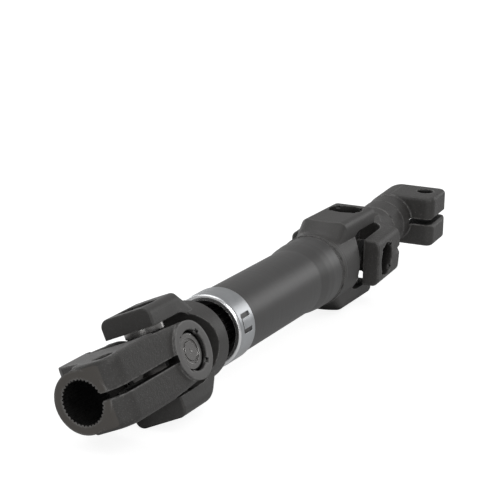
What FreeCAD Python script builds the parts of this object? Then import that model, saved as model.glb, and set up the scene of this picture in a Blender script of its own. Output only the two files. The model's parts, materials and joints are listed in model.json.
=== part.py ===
import FreeCAD
import Part
import math
import os

import Sketcher
from FreeCAD import Placement, Rotation, Vector

# Telescopic intermediate steering shaft with a universal joint and a splined clamp at each end.
# Millimetres. +X runs along the tube from the near clamp to the far clamp, +Z is up, z = 0 is the
# surface the shaft lies on. Each piece is drawn about the centre of the joint it belongs to.

DRIVING_SIZES = [
    # where the shaft lies
    ("near_joint_x", -127.356, "centre of the near cross along the row frame"),
    ("axis_y", -0.575, "tube axis sideways from the origin"),
    ("axis_height", 23.474, "tube axis above the ground"),
    ("near_phase", -24.7, "turn of the near joint about the tube axis, degrees"),
    ("near_yaw", -7.1, "near clamp yoke swung about the shaft yoke's pins, degrees"),
    ("near_pitch", -1.1, "near clamp yoke swung about its own pins, degrees"),
    ("far_yaw", 0.0, "far clamp yoke swung about the tube yoke's pins, degrees"),
    ("far_pitch", 3.5, "far clamp yoke swung about its own pins, degrees"),
    # bearing cups and crosses
    ("cup_radius", 8.0, "outside of a bearing cup"),
    ("cup_wall", 1.2, "side wall of a cup"),
    ("cup_floor", 1.3, "end wall of a cup"),
    ("cup_end", 17.0, "cross centre to a cup's outer end"),
    ("cup_mouth", 11.5, "cross centre to a cup's open end"),
    ("cup_corner", 1.7, "rounding of a cup's outer end"),
    ("cup_disc_radius", 3.9, "raised disc in a cup's outer end"),
    ("cup_ring_radius", 4.9, "groove round the raised disc"),
    ("cup_groove_depth", 0.7, "depth of that groove"),
    ("press_overlap", 0.01, "radial interference of a pressed piece"),
    ("roller_radius", 1.0, "needle roller"),
    ("running_gap", 0.03, "radial running clearance"),
    ("end_gap", 0.3, "axial clearance between pieces that turn on each other"),
    ("cross_core_radius", 7.4, "forged root of a trunnion"),
    ("cross_core_reach", 9.0, "cross centre to the trunnion's shoulder"),
    ("trunnion_chamfer", 0.6, "chamfer at a trunnion's end"),
    ("seal_radius", 7.5, "outside of a trunnion seal"),
    ("seal_lip", 0.6, "height of the seal's raised lip"),
    # forked heads
    ("arm_half_width", 11.0, "half the width of a fork arm"),
    ("arm_outer", 22.0, "joint centre to an arm's outer face"),
    ("arm_gap", 14.2, "joint centre to an arm's inner face"),
    ("arm_tip", 11.8, "joint centre to the end of an arm"),
    ("crotch_centre", 9.2, "joint centre to the centre of the crotch's arc"),
    ("arm_flare_radius", 26.0, "round blank that an arm is trimmed from"),
    ("arm_edge_round", 3.4, "rounding along an arm's outer edges"),
    ("arm_back_bend", 9.5, "rounding where an arm's flat back meets its shoulder"),
    ("arm_tip_round", 0.7, "rounding round the end of an arm"),
    ("bore_bevel", 0.4, "chamfer at the mouth of a cup bore"),
    ("stake_width", 2.2, "staking mark at a cup bore"),
    ("stake_reach", 1.0, "staking mark beyond the bore"),
    ("stake_depth", 1.2, "staking mark below the face"),
    ("stake_count", 4, "staking marks round a bore"),
    # shaft yoke
    ("shaft_yoke_flare_x", 11.6, "joint centre to the widest place of the arm's shoulder"),
    ("shaft_yoke_foot_x", 28.6, "joint centre to the foot of the arm's shoulder"),
    ("shaft_yoke_foot_radius", 13.2, "radius at the shoulder's foot"),
    ("shaft_yoke_disc_radius", 16.8, "round base of the shaft yoke"),
    ("shaft_yoke_disc_start", 17.5, "front of the round base"),
    ("shaft_yoke_disc_end", 32.8, "back of the round base"),
    ("shaft_yoke_hub_radius", 11.0, "hub behind the round base"),
    ("shaft_yoke_hub_end", 41.5, "end of that hub"),
    # inner shaft
    ("spline_radius", 9.0, "outside of the inner shaft's teeth"),
    ("spline_depth", 1.1, "depth of the shaft's grooves"),
    ("spline_teeth", 20, "teeth on the inner shaft"),
    ("shaft_start", 28.0, "near joint centre to the shaft's end in its yoke"),
    ("shaft_length", 112.0, "length of the inner shaft"),
    ("spline_tooth_width", 1.3, "width of a tooth"),
    ("slide_gap", 0.06, "clearance between the shaft and its bush"),
    # collar, seal and tube
    ("collar_start", 47.7, "near joint centre to the collar's lip"),
    ("collar_length", 14.8, "length of the end collar"),
    ("collar_radius", 15.6, "outside of the end collar"),
    ("collar_wall", 0.6, "wall of the end collar over the tube"),
    ("collar_lip_radius", 13.2, "opening in the collar's rolled lip"),
    ("collar_lip_round", 1.4, "rounding of the collar's lip"),
    ("window_start", 3.3, "collar lip to the latch slot"),
    ("window_length", 8.8, "latch slot along the collar"),
    ("window_width", 8.2, "latch slot across the collar"),
    ("window_slot", 1.9, "width of the cuts beside a latch tab"),
    ("window_end", 0.9, "width of the cut at a latch tab's tip"),
    ("window_corner", 0.8, "cut corner of a latch slot"),
    ("window_angle", 17.5, "first latch above the horizontal, degrees"),
    ("window_count", 3, "latches round the collar"),
    ("tube_radius", 15.0, "outside of the tube"),
    ("tube_bore", 12.0, "bore of the tube"),
    ("tube_inset", 4.6, "collar lip to the end of the tube"),
    ("tube_span", 119.0, "collar lip to the tube's far end"),
    ("flare_start", 24.0, "start of the flare from the tube's far end"),
    ("flare_middle", 16.0, "middle step of the flare from the tube's far end"),
    ("flare_end", 10.0, "end of the flare from the tube's far end"),
    ("flare_round", 9.0, "rounding of the flare's steps"),
    ("flare_middle_radius", 15.85, "radius at the middle of the flare"),
    ("flare_radius", 16.2, "radius at the end of the flare"),
    ("wiper_start", 9.0, "collar lip to the wiper seal"),
    ("wiper_length", 4.5, "length of the wiper seal"),
    ("bush_start", 16.0, "collar lip to the slide bush"),
    ("bush_length", 40.0, "length of the slide bush"),
    # tube yoke
    ("tube_yoke_arm_outer", 21.1, "far joint centre to the outer face of an arm"),
    ("tube_yoke_reach", 47.0, "far joint centre to the tube's end"),
    ("tube_yoke_seat_width", 2.3, "narrow band against the tube's end"),
    ("tube_yoke_seat_radius", 16.3, "radius of that band"),
    ("tube_yoke_ring_radius", 16.8, "ring beside the band"),
    ("tube_yoke_ring_width", 3.0, "width of that ring"),
    ("tube_yoke_body_radius", 16.4, "round body behind the ring"),
    ("tube_yoke_body_start", 15.0, "far joint centre to the front of the round body"),
    ("tube_yoke_flare_back", 21.1, "tube's end back to the widest place of the arm's shoulder"),
    ("tube_yoke_foot_back", 8.5, "tube's end back to the foot of the arm's shoulder"),
    ("tube_yoke_foot_round", 6.0, "hollow rounding at the shoulder's foot"),
    ("tube_yoke_groove", 0.35, "depth of the groove beside the ring"),
    ("spigot_length", 16.0, "spigot pressed into the tube"),
    ("spigot_bore", 10.0, "bore of the spigot"),
    ("spigot_bore_end", 33.0, "far joint centre to the end of that bore"),
    # far clamp yoke
    ("far_yoke_flare_x", 15.2, "joint centre to the widest place of the arm's shoulder"),
    ("far_yoke_foot_x", 26.0, "joint centre to the foot of the arm's shoulder"),
    ("far_yoke_foot_radius", 14.5, "radius at the shoulder's foot"),
    ("far_root_radius", 12.4, "round root behind the fork"),
    ("far_root_end", 34.0, "joint centre to the end of that root"),
    ("far_neck_radius", 11.8, "round neck of the far clamp yoke"),
    ("far_neck_start", 15.0, "joint centre to the front of the neck"),
    ("far_neck_step", 44.0, "groove round the neck"),
    ("far_neck_groove", 0.5, "depth and width of that groove"),
    ("far_neck_bead", 57.0, "raised bead round the neck"),
    ("far_clamp_start", 69.0, "joint centre to the clamp's near face"),
    ("far_clamp_end", 93.0, "joint centre to the clamp's end face"),
    ("far_clamp_reach", 22.9, "axis to the clamp's open side"),
    ("far_clamp_half_height", 12.6, "axis to the clamp's top"),
    ("far_clamp_ring", 12.3, "round side of the clamp"),
    ("far_corner_round", 4.0, "rounding of the clamp's upright corners"),
    ("far_lug_round", 2.0, "rounding along the clamp's other edges"),
    ("far_mouth_bevel", 1.2, "bevel at the mouth of the clamp's slit"),
    ("far_slit_run", 3.0, "slit beyond the clamp's near face"),
    ("far_bolt_x", 82.5, "joint centre to the pinch bolt hole"),
    ("far_bolt_y", 14.4, "axis to the pinch bolt hole"),
    # near clamp yoke
    ("near_clamp_end", 51.4, "joint centre to the clamp's end face"),
    ("near_clamp_ring", 12.3, "round side of the clamp"),
    ("near_clamp_half_height", 13.2, "axis to the clamp's top"),
    ("near_side", 17.3, "axis to the flat side of the slab"),
    ("near_taper_start", 19.5, "joint centre to the start of the slab's taper"),
    ("near_ring_end", 23.5, "joint centre to the end of the round side"),
    ("near_edge_round", 2.5, "rounding along the slab's edges"),
    ("near_boss_face", 18.5, "joint centre to the bearing boss's face"),
    ("near_boss_radius", 11.6, "bearing boss"),
    ("near_arm_gap", 13.4, "joint centre to an arm's inner face"),
    ("near_crotch_end", 24.5, "joint centre to the bottom of the crotch"),
    ("near_crotch_round", 6.0, "rounding in the crotch's corners"),
    ("near_relief", 3.5, "bevel inside the arms, which frees the other yoke's arms"),
    ("near_bolt_x", 45.0, "joint centre to the pinch bolt hole"),
    ("near_bolt_y", 10.8, "axis to the pinch bolt hole"),
    ("near_slit_end", 11.5, "joint centre to the inner end of the slit"),
    ("near_far_arm_start", 40.5, "joint centre to the front of the closed side's arm"),
    ("near_corner_round", 5.0, "rounding behind the closed side's arm"),
    ("near_front_round", 7.5, "rounding of the clamp's front corner"),
    # splined clamps
    ("bore_radius", 8.5, "tips of the clamp's spline teeth"),
    ("bore_depth", 27.0, "depth of the far clamp's bore"),
    ("serration_depth", 0.55, "depth of a spline groove"),
    ("serration_width", 0.95, "mouth of a spline groove"),
    ("serration_count", 36, "spline grooves round a bore"),
    ("slit_width", 2.8, "slit of a clamp"),
    ("bolt_hole_radius", 4.2, "hole for a pinch bolt"),
]

doc = FreeCAD.newDocument("steering_shaft")
size = doc.addObject("Spreadsheet::Sheet", "size")
for row, (alias, value, meaning) in enumerate(DRIVING_SIZES, 1):
    size.set(f"A{row}", meaning)
    size.set(f"B{row}", str(value))
    size.setAlias(f"B{row}", alias)
doc.recompute()

nodes = {}


def number(expression):
    """Present value of an expression in the sheet's aliases."""
    value = size.evalExpression(str(expression))
    return float(getattr(value, "Value", value))


def new_body(name):
    body = doc.addObject("PartDesign::Body", name)
    body.Label = name
    return body


def finish_node(name, part, placement):
    part.Label = name
    part.Placement = placement
    nodes[name] = part


def origin_item(body, role):
    return next(item for item in body.Origin.OriginFeatures if item.Role == role)


def new_sketch(body, role, name, offset=None):
    """Sketch on one of the body's own planes, moved along its normal by an expression."""
    sketch = body.newObject("Sketcher::SketchObject", name)
    sketch.AttachmentSupport = (origin_item(body, role), [""])
    sketch.MapMode = "FlatFace"
    if offset is not None:
        sketch.setExpression("AttachmentOffset.Base.z", offset)
    return sketch


def tie(sketch, kind, first, position, expression):
    """Hold one coordinate of a point from the sketch origin at an expression."""
    value = number(expression)
    index = sketch.addConstraint(Sketcher.Constraint(kind, -1, 1, first, position, value))
    sketch.setExpression(f"Constraints[{index}]", str(expression))


def add_outline(sketch, corners):
    """Closed outline of straight sides, its corners given as pairs of expressions."""
    points = [Vector(number(across), number(up), 0) for across, up in corners]
    first = sketch.GeometryCount
    count = len(points)
    for place in range(count):
        sketch.addGeometry(Part.LineSegment(points[place], points[(place + 1) % count]))
    for place in range(count):
        following = first + (place + 1) % count
        sketch.addConstraint(Sketcher.Constraint("Coincident", first + place, 2, following, 1))
    for place, (across, up) in enumerate(corners):
        tie(sketch, "DistanceX", first + place, 1, across)
        tie(sketch, "DistanceY", first + place, 1, up)


def add_circle(sketch, radius, across="0", up="0"):
    """Circle whose centre and radius are expressions."""
    centre = Vector(number(across), number(up), 0)
    index = sketch.addGeometry(Part.Circle(centre, Vector(0, 0, 1), number(radius)))
    tie(sketch, "DistanceX", index, 3, across)
    tie(sketch, "DistanceY", index, 3, up)
    held = sketch.addConstraint(Sketcher.Constraint("Radius", index, number(radius)))
    sketch.setExpression(f"Constraints[{held}]", str(radius))


def pad(body, name, sketch, length, symmetric=True, reverse=False):
    feature = body.newObject("PartDesign::Pad", name)
    feature.Profile = sketch
    feature.SideType = "Symmetric" if symmetric else "One side"
    feature.Reversed = reverse
    feature.setExpression("Length", length)
    doc.recompute()
    return feature


def pocket(body, name, sketch, length=None, symmetric=True, reverse=False):
    """Cut by a sketch, to a length or, without one, right through both ways."""
    feature = body.newObject("PartDesign::Pocket", name)
    feature.Profile = sketch
    feature.SideType = "Symmetric" if symmetric else "One side"
    feature.Reversed = reverse
    if length is None:
        feature.Type = "ThroughAll"
    else:
        feature.setExpression("Length", length)
    doc.recompute()
    return feature


def turn(body, name, sketch, axis="H_Axis"):
    feature = body.newObject("PartDesign::Revolution", name)
    feature.Profile = sketch
    feature.ReferenceAxis = (sketch, [axis])
    doc.recompute()
    return feature


def around(body, name, originals, role, count):
    """Copies of cuts or pads spread evenly round one of the body's axes."""
    feature = body.newObject("PartDesign::PolarPattern", name)
    feature.Originals = originals
    feature.Axis = (origin_item(body, role), [""])
    feature.Angle = 360
    feature.setExpression("Occurrences", count)
    body.Tip = feature
    doc.recompute()
    return feature


def edges_where(shape, test):
    return [f"Edge{place}" for place, edge in enumerate(shape.Edges, 1) if test(edge)]


def round_edges(body, name, radius, test):
    """Round the edges of the body's latest feature that pass a test."""
    base = body.Tip
    feature = body.newObject("PartDesign::Fillet", name)
    feature.Base = (base, edges_where(base.Shape, test))
    feature.setExpression("Radius", radius)
    doc.recompute()
    return feature


def bevel_edges(body, name, length, test):
    """Chamfer the edges of the body's latest feature that pass a test."""
    base = body.Tip
    feature = body.newObject("PartDesign::Chamfer", name)
    feature.Base = (base, edges_where(base.Shape, test))
    feature.setExpression("Size", length)
    doc.recompute()
    return feature


def near(value, wanted, slack=0.02):
    return abs(value - wanted) < slack


def spans(edge):
    box = edge.BoundBox
    return box.XLength, box.YLength, box.ZLength


def straight(edge):
    return edge.Curve.TypeId == "Part::GeomLine"


# Frames of the two joints

shaft_line = Placement(Vector(size.near_joint_x, size.axis_y, size.axis_height), Rotation())
joint_spacing = size.collar_start + size.tube_span + size.tube_yoke_reach
about_x = Vector(1, 0, 0)
about_y = Vector(0, 1, 0)
about_z = Vector(0, 0, 1)


def turned(axis, angle):
    return Placement(Vector(0, 0, 0), Rotation(axis, angle))


near_frame = shaft_line * turned(about_x, size.near_phase)
near_cross_frame = near_frame * turned(about_z, size.near_yaw)
near_clamp_frame = near_cross_frame * turned(about_y, size.near_pitch)
far_frame = shaft_line * Placement(Vector(joint_spacing, 0, 0), Rotation())
far_cross_frame = far_frame * turned(about_z, size.far_yaw)
far_clamp_frame = far_cross_frame * turned(about_y, -size.far_pitch)


# Bearing cups, needle rollers, crosses and seals

def build_cup(name, placement):
    """Pressed cup, closed at its outer end, with a stepped disc in that end; axis Z."""
    body = new_body(name)
    sketch = new_sketch(body, "XZ_Plane", name + "_section")
    wall = "(size.cup_radius + size.press_overlap)"
    add_outline(sketch, [
        ("0", "size.cup_end - size.cup_floor"),
        ("size.cup_radius - size.cup_wall", "size.cup_end - size.cup_floor"),
        ("size.cup_radius - size.cup_wall", "size.cup_mouth"),
        (wall, "size.cup_mouth"),
        (wall, "size.cup_end"),
        ("size.cup_ring_radius", "size.cup_end"),
        ("size.cup_ring_radius - 0.3 * size.cup_groove_depth", "size.cup_end - size.cup_groove_depth"),
        ("size.cup_disc_radius", "size.cup_end - size.cup_groove_depth"),
        ("size.cup_disc_radius - 0.3 * size.cup_groove_depth", "size.cup_end - 0.2 * size.cup_groove_depth"),
        ("0.25 * size.cup_disc_radius", "size.cup_end - 0.2 * size.cup_groove_depth"),
        ("0", "size.cup_end - size.cup_groove_depth"),
    ])
    turn(body, name + "_turned", sketch, "V_Axis")

    def outer_corner(edge):
        return near(edge.CenterOfMass.z, size.cup_end) and edge.BoundBox.XMax > size.cup_radius - 0.1

    round_edges(body, name + "_rounded", "size.cup_corner", outer_corner)
    finish_node(name, body, placement)


def build_rollers(name, placement):
    """Full set of needle rollers in a cup, drawn as the ring that they fill; axis Z."""
    outer = doc.addObject("Part::Cylinder", name + "_outside")
    outer.setExpression("Radius", "size.cup_radius - size.cup_wall - size.running_gap")
    outer.setExpression("Height", "size.cup_end - size.cup_floor - size.cup_mouth - 3 * size.end_gap")
    outer.setExpression("Placement.Base.z", "size.cup_mouth + 2 * size.end_gap")
    inner = doc.addObject("Part::Cylinder", name + "_inside")
    inner.setExpression("Radius", "size.cup_radius - size.cup_wall - 2 * size.roller_radius")
    inner.setExpression("Height", outer.Name + ".Height")
    inner.setExpression("Placement.Base.z", outer.Name + ".Placement.Base.z")
    ring = doc.addObject("Part::Cut", name)
    ring.Base = outer
    ring.Tool = inner
    doc.recompute()
    finish_node(name, ring, placement)


TRUNNION = "(size.cup_radius - size.cup_wall - 2 * size.roller_radius - size.running_gap)"


def build_cross(name, placement):
    """Forged cross: two round bars with thicker roots, at right angles."""
    body = new_body(name)
    half = "size.cup_end - size.cup_floor - size.end_gap"
    for label, role, axis in (("y", "XZ_Plane", "Y"), ("z", "XY_Plane", "Z")):
        root = new_sketch(body, role, f"{name}_root_{label}")
        add_circle(root, "size.cross_core_radius")
        pad(body, f"{name}_root_bar_{label}", root, "2 * size.cross_core_reach")
        bar = new_sketch(body, role, f"{name}_trunnion_{label}")
        add_circle(bar, TRUNNION)
        pad(body, f"{name}_trunnion_bar_{label}", bar, f"2 * ({half})")
    reach = number(half)
    radius = number(TRUNNION)

    def at_trunnion_end(edge):
        middle = edge.CenterOfMass
        return near(max(abs(middle.y), abs(middle.z)), reach) and near(edge.Length, 2 * math.pi * radius)

    bevel_edges(body, name + "_ends", "size.trunnion_chamfer", at_trunnion_end)
    finish_node(name, body, placement)


def build_seal(name, placement):
    """Lip seal round the foot of a trunnion; axis Z."""
    body = new_body(name)
    sketch = new_sketch(body, "XZ_Plane", name + "_section")
    foot = "(size.cross_core_reach + size.running_gap)"
    inside = f"{TRUNNION} + size.running_gap"
    add_outline(sketch, [
        (inside, foot),
        ("size.seal_radius", foot),
        ("size.seal_radius", "size.cup_mouth - size.end_gap"),
        ("size.seal_radius - size.seal_lip", "size.cup_mouth - size.end_gap"),
        ("size.seal_radius - 2 * size.seal_lip", "size.cup_mouth - size.end_gap - size.seal_lip"),
        (inside, "size.cup_mouth - size.end_gap - size.seal_lip"),
    ])
    turn(body, name + "_turned", sketch, "V_Axis")
    finish_node(name, body, placement)


UP = turned(about_x, 0)
DOWN = turned(about_x, 180)
RIGHT = turned(about_x, 90)
LEFT = turned(about_x, -90)


def build_cross_set(name, cross_frame):
    build_cross(name + "_cross", cross_frame)
    for side, direction in (("top", UP), ("bottom", DOWN), ("right", RIGHT), ("left", LEFT)):
        build_seal(f"{name}_seal_{side}", cross_frame * direction)


def build_bearings(name, frame, sides):
    for side, direction in sides:
        build_cup(f"{name}_cup_{side}", frame * direction)
        build_rollers(f"{name}_rollers_{side}", frame * direction)


UPRIGHT = (("top", UP), ("bottom", DOWN))
LEVEL = (("right", RIGHT), ("left", LEFT))


# Forked yokes

def mirrored_boxes(sketch, first, last, low, high):
    """Two rectangles from first to last across, one from low to high and its mirror image below."""
    for sign in ("", "-"):
        add_outline(sketch, [
            (first, f"{sign}({low})"),
            (last, f"{sign}({low})"),
            (last, f"{sign}({high})"),
            (first, f"{sign}({high})"),
        ])


def build_fork(body, name, outer, flare_x, foot, end, foot_round=None):
    """Two arms along +Z and -Z, trimmed from a round blank that narrows to its foot and its end."""
    foot_x, foot_radius = foot
    end_x, end_radius = end
    blank = new_sketch(body, "XZ_Plane", name + "_blank")
    add_outline(blank, [
        ("-size.arm_tip", "0"),
        ("-size.arm_tip", "size.arm_flare_radius"),
        (flare_x, "size.arm_flare_radius"),
        (foot_x, foot_radius),
        (end_x, end_radius),
        (end_x, "0"),
    ])
    turn(body, name + "_turned_blank", blank)
    foot_place = number(foot_x)
    face = number(outer)

    def at_foot(edge):
        return near(edge.CenterOfMass.x, foot_place) and near(edge.BoundBox.XLength, 0)

    if foot_round is not None:
        round_edges(body, name + "_foot", foot_round, at_foot)
    before = "-size.arm_tip - 1"
    beyond = "size.arm_flare_radius + 1"
    sides = new_sketch(body, "XY_Plane", name + "_sides")
    mirrored_boxes(sides, before, end_x + " + 1", "size.arm_half_width", beyond)
    pocket(body, name + "_side_cuts", sides)
    backs = new_sketch(body, "XZ_Plane", name + "_backs")
    mirrored_boxes(backs, before, foot_x, outer, beyond)
    pocket(body, name + "_back_cuts", backs)

    def across_back(edge):
        middle = edge.CenterOfMass
        return near(abs(middle.z), face) and near(middle.y, 0) and middle.x > 0

    def along_side(edge):
        middle = edge.CenterOfMass
        on_side = near(abs(middle.y), size.arm_half_width) and near(edge.BoundBox.YLength, 0)
        return on_side and middle.x < foot_place and spans(edge)[0] > 0.5 and abs(middle.z) > size.arm_gap

    def round_tip(edge):
        return near(edge.BoundBox.XMin, -size.arm_tip) and near(edge.BoundBox.XMax, -size.arm_tip)

    round_edges(body, name + "_back_bend", "size.arm_back_bend", across_back)
    round_edges(body, name + "_arm_edges", "size.arm_edge_round", along_side)
    round_edges(body, name + "_tips", "size.arm_tip_round", round_tip)


def open_fork(body, name, outer):
    """Crotch between the arms, bearing bores and staking marks."""
    crotch = new_sketch(body, "XZ_Plane", name + "_crotch")
    add_outline(crotch, [
        ("-size.arm_tip - 5", "-size.arm_gap"),
        ("size.crotch_centre", "-size.arm_gap"),
        ("size.crotch_centre", "size.arm_gap"),
        ("-size.arm_tip - 5", "size.arm_gap"),
    ])
    pocket(body, name + "_gap", crotch)
    root = new_sketch(body, "XZ_Plane", name + "_root")
    add_circle(root, "size.arm_gap", "size.crotch_centre")
    pocket(body, name + "_root_arc", root)
    bore = new_sketch(body, "XY_Plane", name + "_bore")
    add_circle(bore, "size.cup_radius")
    pocket(body, name + "_bores", bore)
    stake_cup_bores(body, name, "XY_Plane", "Z_Axis", outer)


def stake_cup_bores(body, name, role, axis_role, face):
    """Four punched notches round the rim of each cup bore, which hold the cups."""
    inner = "(size.cup_radius - size.stake_reach)"
    outer = "(size.cup_radius + size.stake_reach)"
    half = "size.stake_width / 2"
    corners = [
        (f"({inner} + {half}) * sqrt(0.5)", f"({inner} - {half}) * sqrt(0.5)"),
        (f"({outer} + {half}) * sqrt(0.5)", f"({outer} - {half}) * sqrt(0.5)"),
        (f"({outer} - {half}) * sqrt(0.5)", f"({outer} + {half}) * sqrt(0.5)"),
        (f"({inner} - {half}) * sqrt(0.5)", f"({inner} + {half}) * sqrt(0.5)"),
    ]
    notches = []
    for label, sign, reverse in (("out", "", True), ("back", "-", False)):
        notch = new_sketch(body, role, f"{name}_stake_{label}", f"{sign}({face} - size.stake_depth)")
        add_outline(notch, corners)
        notches.append(pocket(body, f"{name}_stake_cut_{label}", notch, "2 * size.stake_depth", False, reverse))
    around(body, name + "_stakes", notches, axis_role, "size.stake_count")


def build_shaft_yoke():
    name = "shaft_yoke"
    body = new_body(name)
    foot = ("size.shaft_yoke_foot_x", "size.shaft_yoke_foot_radius")
    end = ("size.shaft_yoke_foot_x + size.arm_edge_round", "size.shaft_yoke_foot_radius")
    build_fork(body, name, "size.arm_outer", "size.shaft_yoke_flare_x", foot, end)
    base = new_sketch(body, "XZ_Plane", name + "_base")
    add_outline(base, [
        ("size.shaft_yoke_disc_start", "0"),
        ("size.shaft_yoke_disc_start", "size.shaft_yoke_disc_radius"),
        ("size.shaft_yoke_disc_end - 1", "size.shaft_yoke_disc_radius"),
        ("size.shaft_yoke_disc_end", "size.shaft_yoke_disc_radius - 1"),
        ("size.shaft_yoke_disc_end", "size.shaft_yoke_hub_radius + 1"),
        ("size.shaft_yoke_disc_end + 1", "size.shaft_yoke_hub_radius"),
        ("size.shaft_yoke_hub_end", "size.shaft_yoke_hub_radius"),
        ("size.shaft_yoke_hub_end", "0"),
    ])
    turn(body, name + "_round_base", base)
    open_fork(body, name, "size.arm_outer")
    seat = new_sketch(body, "YZ_Plane", name + "_seat")
    add_circle(seat, "size.spline_radius")
    pocket(body, name + "_shaft_seat", seat)
    finish_node(name, body, near_frame)


def build_tube_yoke():
    """Fork welded on the far end of the tube, with a spigot inside it."""
    name = "tube_yoke"
    body = new_body(name)
    flare_x = "size.tube_yoke_reach - size.tube_yoke_flare_back"
    foot_x = "size.tube_yoke_reach - size.tube_yoke_foot_back"
    foot = (foot_x, "size.tube_yoke_body_radius")
    end = (foot_x + " + size.arm_edge_round", "size.tube_yoke_body_radius")
    outer = "size.tube_yoke_arm_outer"
    build_fork(body, name, outer, flare_x, foot, end, "size.tube_yoke_foot_round")
    base = new_sketch(body, "XZ_Plane", name + "_base")
    seat = "size.tube_yoke_reach - size.tube_yoke_seat_width"
    spigot_end = "size.tube_yoke_reach + size.spigot_length"
    spigot = "size.tube_bore + size.press_overlap"
    add_outline(base, [
        ("size.tube_yoke_body_start", "0"),
        ("size.tube_yoke_body_start", "size.tube_yoke_body_radius"),
        (f"{seat} - 1.5 * size.tube_yoke_ring_width", "size.tube_yoke_body_radius"),
        (f"{seat} - size.tube_yoke_ring_width", "size.tube_yoke_ring_radius"),
        (f"{seat} - size.tube_yoke_groove", "size.tube_yoke_ring_radius"),
        (seat, "size.tube_yoke_ring_radius - size.tube_yoke_groove"),
        (seat, "size.tube_yoke_seat_radius - size.tube_yoke_groove"),
        (f"{seat} + size.tube_yoke_groove", "size.tube_yoke_seat_radius"),
        ("size.tube_yoke_reach - size.tube_yoke_groove", "size.tube_yoke_seat_radius"),
        ("size.tube_yoke_reach", "size.tube_yoke_seat_radius - size.tube_yoke_groove"),
        ("size.tube_yoke_reach", spigot),
        (spigot_end, spigot),
        (spigot_end, "size.spigot_bore"),
        ("size.spigot_bore_end", "size.spigot_bore"),
        ("size.spigot_bore_end", "0"),
    ])
    turn(body, name + "_round_base", base)
    open_fork(body, name, outer)
    finish_node(name, body, far_frame * turned(about_z, 180))


# Splined clamps

def cut_serrations(body, name, face, length, reverse):
    """Bore with V-shaped spline grooves, cut from a face across the axis."""
    bore = new_sketch(body, "YZ_Plane", name + "_clamp_bore", face)
    add_circle(bore, "size.bore_radius")
    pocket(body, name + "_clamp_bored", bore, length, False, reverse)
    groove = new_sketch(body, "YZ_Plane", name + "_groove", face)
    add_outline(groove, [
        ("-size.serration_width / 2", "size.bore_radius - size.serration_depth"),
        ("size.serration_width / 2", "size.bore_radius - size.serration_depth"),
        ("size.serration_width / 2", "size.bore_radius"),
        ("size.serration_width / 8", "size.bore_radius + size.serration_depth"),
        ("-size.serration_width / 8", "size.bore_radius + size.serration_depth"),
        ("-size.serration_width / 2", "size.bore_radius"),
    ])
    cut = pocket(body, name + "_groove_cut", groove, length, False, reverse)
    around(body, name + "_grooves", [cut], "X_Axis", "size.serration_count")


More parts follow.
